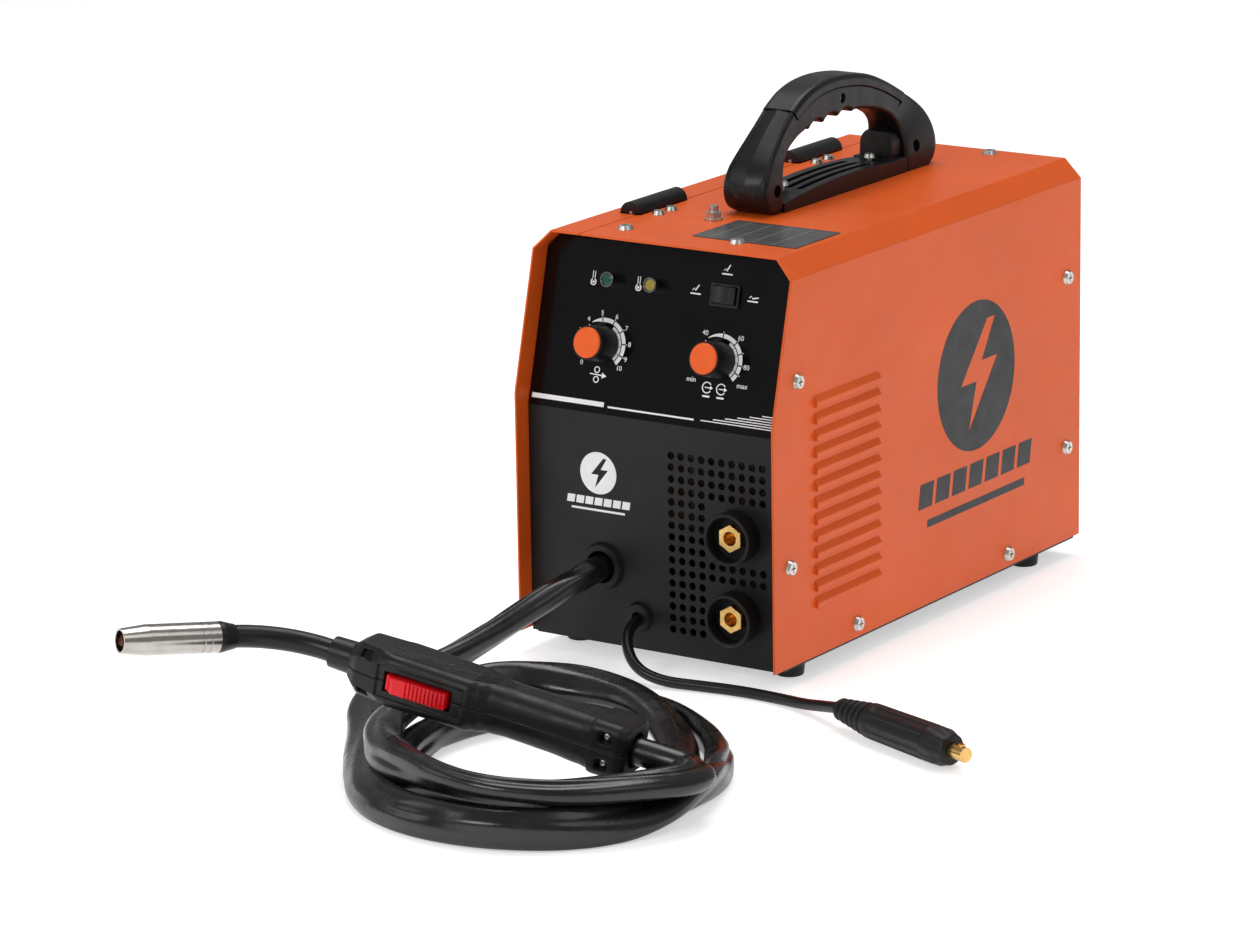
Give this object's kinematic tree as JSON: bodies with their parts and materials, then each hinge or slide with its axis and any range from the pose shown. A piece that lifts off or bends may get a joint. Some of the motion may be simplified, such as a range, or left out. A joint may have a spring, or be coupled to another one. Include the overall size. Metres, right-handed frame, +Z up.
{
  "type": "mig welding machine",
  "caption": "Portable wire-feed welding machine in an orange steel case, with a torch on a coiled hose, a polarity lead with a plug, and a wire drive behind the hinged side door.",
  "frame": {"origin": "middle of the case's footprint, level with the bottoms of the feet", "axes": "+Z up; the control front, sockets and torch hose face -Y; +X is the louvred side and the wire door is on -X"},
  "size_m": [0.4148, 0.748, 0.3421],
  "materials": {
    "steel_black": "satin black coat",
    "panel_black": "satin black powder coat",
    "zinc": "zinc plated",
    "orange": "satin orange powder coat",
    "black_plastic": "moulded",
    "rubber": "matt",
    "plate": "dark printed label",
    "chrome": "polished",
    "lens_green": "clear tinted",
    "lens_yellow": "clear tinted",
    "cap_orange": "moulded",
    "board": "circuit board",
    "brass": "machined",
    "aluminium": "extruded",
    "core": "varnished",
    "grey_plastic": "moulded",
    "wire": "copper coated",
    "nickel": "nickel plated",
    "copper": "machined",
    "sleeve": "satin sleeve",
    "grip": "fine texture",
    "red": "satin red",
    "hose": "smooth wrinkled sleeve",
    "cable": "smooth jacket"
  },
  "bodies": {
    "welder": {"base_tray": "steel_black", "front_panel": "panel_black", "rear_panel": "panel_black", "partition": "zinc", "cover": "orange", "hinge_leaves": "black_plastic", "hinge_pins": "zinc", "feet": "rubber", "case_screws": "zinc", "rating_plate": "plate", "handle_base": "black_plastic", "handle_arch": "black_plastic", "handle_cover": "black_plastic", "handle_screws": "zinc", "led_bezels": "chrome", "led_green": "lens_green", "led_yellow": "lens_yellow", "control_board": "board", "mode_switch": "black_plastic", "socket_bodies": "black_plastic", "socket_contacts": "brass", "hose_grommet": "rubber", "cable_grommet": "rubber", "mains_gland": "black_plastic", "power_switch": "black_plastic", "fan_frame": "black_plastic", "heat_sink": "aluminium", "power_board": "board", "transformer": "core", "feed_motor": "steel_black", "feed_plate": "grey_plastic", "spool_hub": "grey_plastic", "torch_nozzle": "nickel", "contact_tip": "copper", "torch_neck": "sleeve", "torch_shell_upper": "grip", "torch_shell_lower": "grip", "torch_hose_lead": "hose", "torch_hose_coil": "hose", "torch_hose_tail": "hose", "polarity_cable": "cable", "plug_body": "rubber", "plug_pin": "brass"},
    "side_door": {"side_door": "orange", "door_knuckles": "black_plastic", "door_catch": "black_plastic"},
    "wire_speed_knob": {"wire_speed_knob": "black_plastic", "wire_speed_cap": "cap_orange"},
    "current_knob": {"current_knob": "black_plastic", "current_cap": "cap_orange"},
    "mode_rocker": {"mode_rocker": "black_plastic"},
    "power_rocker": {"power_rocker": "black_plastic"},
    "fan_rotor": {"fan_rotor": "black_plastic"},
    "drive_roll": {"drive_roll": "zinc"},
    "pressure_arm": {"pressure_arm": "grey_plastic"},
    "idler_roll": {"idler_roll": "zinc"},
    "tension_knob": {"tension_knob": "black_plastic"},
    "wire_spool": {"wire_spool": "grey_plastic", "welding_wire": "wire"},
    "torch_trigger": {"torch_trigger": "red"}
  },
  "joints": [
    {"name": "door_hinge", "type": "hinge", "parent": "welder", "child": "side_door", "pos_m": [-0.0665, 0, 0.2675], "axis": [0, 1, 0], "range_deg": [0, 105]},
    {"name": "wire_speed_turn", "type": "hinge", "parent": "welder", "child": "wire_speed_knob", "pos_m": [-0.0434, -0.17417, 0.20142], "axis": [0, -0.9678, 0.2516], "range_deg": [-140, 140]},
    {"name": "current_turn", "type": "hinge", "parent": "welder", "child": "current_knob", "pos_m": [0.0422, -0.17417, 0.20142], "axis": [0, -0.9678, 0.2516], "range_deg": [-140, 140]},
    {"name": "mode_rock", "type": "hinge", "parent": "welder", "child": "mode_rocker", "pos_m": [0.041, -0.15685, 0.23784], "axis": [0, 0.2516, 0.9678], "range_deg": [-10, 10]},
    {"name": "power_rock", "type": "hinge", "parent": "welder", "child": "power_rocker", "pos_m": [0.02, 0.18545, 0.1515], "axis": [0, 0, 1], "range_deg": [0, 16]},
    {"name": "fan_spin", "type": "hinge", "parent": "welder", "child": "fan_rotor", "pos_m": [0.036, 0.172, 0.078], "axis": [0, 1, 0], "continuous": true},
    {"name": "drive_spin", "type": "hinge", "parent": "welder", "child": "drive_roll", "pos_m": [-0.0385, -0.112, 0.0454], "axis": [1, 0, 0], "continuous": true},
    {"name": "arm_lift", "type": "hinge", "parent": "welder", "child": "pressure_arm", "pos_m": [-0.032, -0.143, 0.0724], "axis": [1, 0, 0], "range_deg": [0, 55]},
    {"name": "idler_spin", "type": "hinge", "parent": "pressure_arm", "child": "idler_roll", "pos_m": [-0.0385, -0.112, 0.0719], "axis": [1, 0, 0], "continuous": true},
    {"name": "tension_turn", "type": "hinge", "parent": "pressure_arm", "child": "tension_knob", "pos_m": [-0.0385, -0.08, 0.0804], "axis": [0, 0, 1], "range_deg": [-360, 360]},
    {"name": "spool_spin", "type": "hinge", "parent": "welder", "child": "wire_spool", "pos_m": [-0.06, 0.07, 0.1265], "axis": [1, 0, 0], "continuous": true},
    {"name": "trigger_press", "type": "slide", "parent": "welder", "child": "torch_trigger", "axis": [-0.1511, 0.9885, 0.0002], "range_m": [0, 0.003], "stiffness_N_per_m": 500, "springref_m": -0.0005}
  ],
  "couplings": [
    {"joint": "idler_spin", "follows": "drive_spin", "ratio": -1.3636}
  ]
}
